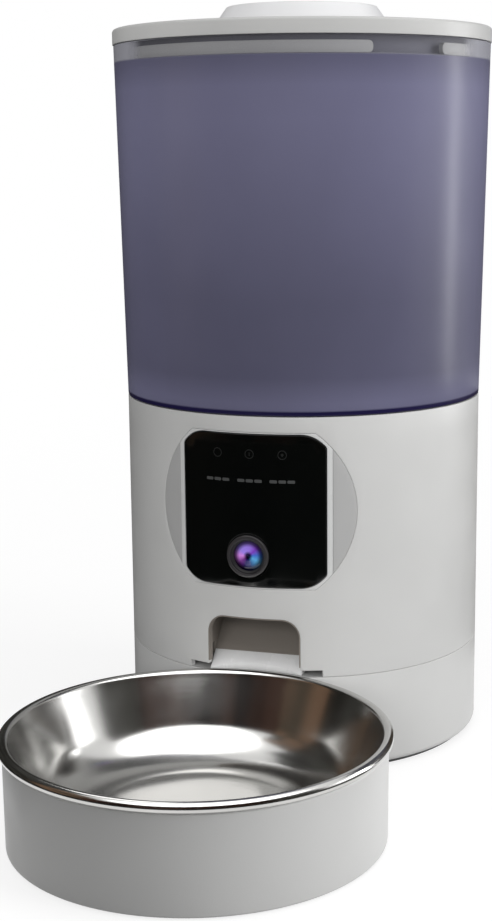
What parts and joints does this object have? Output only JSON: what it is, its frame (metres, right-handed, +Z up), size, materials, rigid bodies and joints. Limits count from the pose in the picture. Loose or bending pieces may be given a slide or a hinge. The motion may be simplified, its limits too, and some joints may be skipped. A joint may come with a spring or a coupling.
{
  "type": "camera pet feeder",
  "caption": "Round pet feeder with a see-through food tank, twist-lock lid, camera panel, metering rotor and chute, and a steel bowl in a dock-on holder.",
  "frame": {"origin": "under the middle of the whole object, on the surface it stands on", "axes": "+Z up, -Y towards the bowl and the camera panel, +X to the right of someone who faces the panel"},
  "size_m": [0.1942, 0.361, 0.378],
  "materials": {
    "white_plastic": "satin moulded white",
    "inner_white": "satin moulded white",
    "trim_plastic": "satin light grey",
    "black_gloss": "polished black",
    "lip_plastic": "gloss white",
    "chute_plastic": "matt grey-brown",
    "ring_plastic": "gloss grey",
    "lens_glass": "coated glass",
    "black_plastic": "moulded black",
    "board": "green board",
    "motor_steel": "plated steel",
    "cell_wrap": "gloss wrap",
    "screw_steel": "zinc plated",
    "rubber": "matt dark grey",
    "rotor_plastic": "moulded grey",
    "tank_plastic": "tinted see-through",
    "bowl_steel": "polished stainless steel"
  },
  "bodies": {
    "base": {"battery_box": "black_plastic", "battery_cell_1": "cell_wrap", "battery_cell_2": "cell_wrap", "battery_cell_3": "cell_wrap", "battery_contact_front": "motor_steel", "battery_contact_rear": "motor_steel", "bottom_plate": "inner_white", "camera_lens": "lens_glass", "camera_module": "black_plastic", "camera_ring": "ring_plastic", "chute_duct": "chute_plastic", "chute_lip": "lip_plastic", "control_board": "board", "deck_screw_1": "screw_steel", "deck_screw_2": "screw_steel", "deck_screw_3": "screw_steel", "deck_screw_4": "screw_steel", "foot_ring": "rubber", "gearbox": "black_plastic", "lower_shell": "white_plastic", "metering_well": "inner_white", "motor_can": "motor_steel", "panel_trim": "trim_plastic", "plate_screw_1": "screw_steel", "plate_screw_2": "screw_steel", "plate_screw_3": "screw_steel", "plate_screw_4": "screw_steel", "portion_guard": "inner_white", "power_board": "board", "power_inlet": "black_plastic", "speaker": "black_plastic", "touch_panel": "black_gloss", "upper_housing": "white_plastic"},
    "rotor": {"metering_rotor": "rotor_plastic", "drive_dog": "motor_steel"},
    "tank": {"food_tank": "tank_plastic"},
    "lid": {"lid_cover": "white_plastic", "lid_liner": "inner_white"},
    "knob": {"lid_knob": "white_plastic", "cam_disc": "ring_plastic", "knob_screw": "screw_steel"},
    "lock_1": {"lock_segment_1": "inner_white"},
    "lock_2": {"lock_segment_2": "inner_white"},
    "lock_3": {"lock_segment_3": "inner_white"},
    "tray": {"bowl_holder": "white_plastic", "holder_foot_1": "rubber", "holder_foot_2": "rubber", "holder_foot_3": "rubber", "holder_foot_4": "rubber"},
    "bowl": {"steel_bowl": "bowl_steel"},
    "battery_door": {"battery_door": "inner_white"}
  },
  "joints": [
    {"name": "rotor_spin", "type": "hinge", "parent": "base", "child": "rotor", "pos_m": [0, 0.0834, 0.145], "axis": [0, 0, 1], "continuous": true},
    {"name": "tank_lift", "type": "slide", "parent": "base", "child": "tank", "axis": [0, 0, 1], "range_m": [0, 0.06]},
    {"name": "lid_lift", "type": "slide", "parent": "tank", "child": "lid", "axis": [0, 0, 1], "range_m": [0, 0.05]},
    {"name": "knob_turn", "type": "hinge", "parent": "lid", "child": "knob", "pos_m": [0, 0.0834, 0.372], "axis": [0, 0, 1], "range_deg": [0, 60]},
    {"name": "lock_slide_1", "type": "slide", "parent": "lid", "child": "lock_1", "axis": [0.1822, 0.9833, 0], "range_m": [0, 0.003]},
    {"name": "lock_slide_2", "type": "slide", "parent": "lid", "child": "lock_2", "axis": [-0.9426, -0.3338, 0], "range_m": [0, 0.003]},
    {"name": "lock_slide_3", "type": "slide", "parent": "lid", "child": "lock_3", "axis": [0.7604, -0.6494, 0], "range_m": [0, 0.003]},
    {"name": "tray_slide", "type": "slide", "parent": "base", "child": "tray", "axis": [0, -1, 0], "range_m": [0, 0.08]},
    {"name": "bowl_lift", "type": "slide", "parent": "tray", "child": "bowl", "axis": [0, -0.2756, 0.9613], "range_m": [0, 0.07]},
    {"name": "battery_door_drop", "type": "slide", "parent": "base", "child": "battery_door", "axis": [0, 0, -1], "range_m": [0, 0.02]}
  ],
  "couplings": [
    {"joint": "lock_slide_1", "follows": "knob_turn", "m_per_rad": 0.002864},
    {"joint": "lock_slide_2", "follows": "knob_turn", "m_per_rad": 0.002864},
    {"joint": "lock_slide_3", "follows": "knob_turn", "m_per_rad": 0.002864}
  ]
}
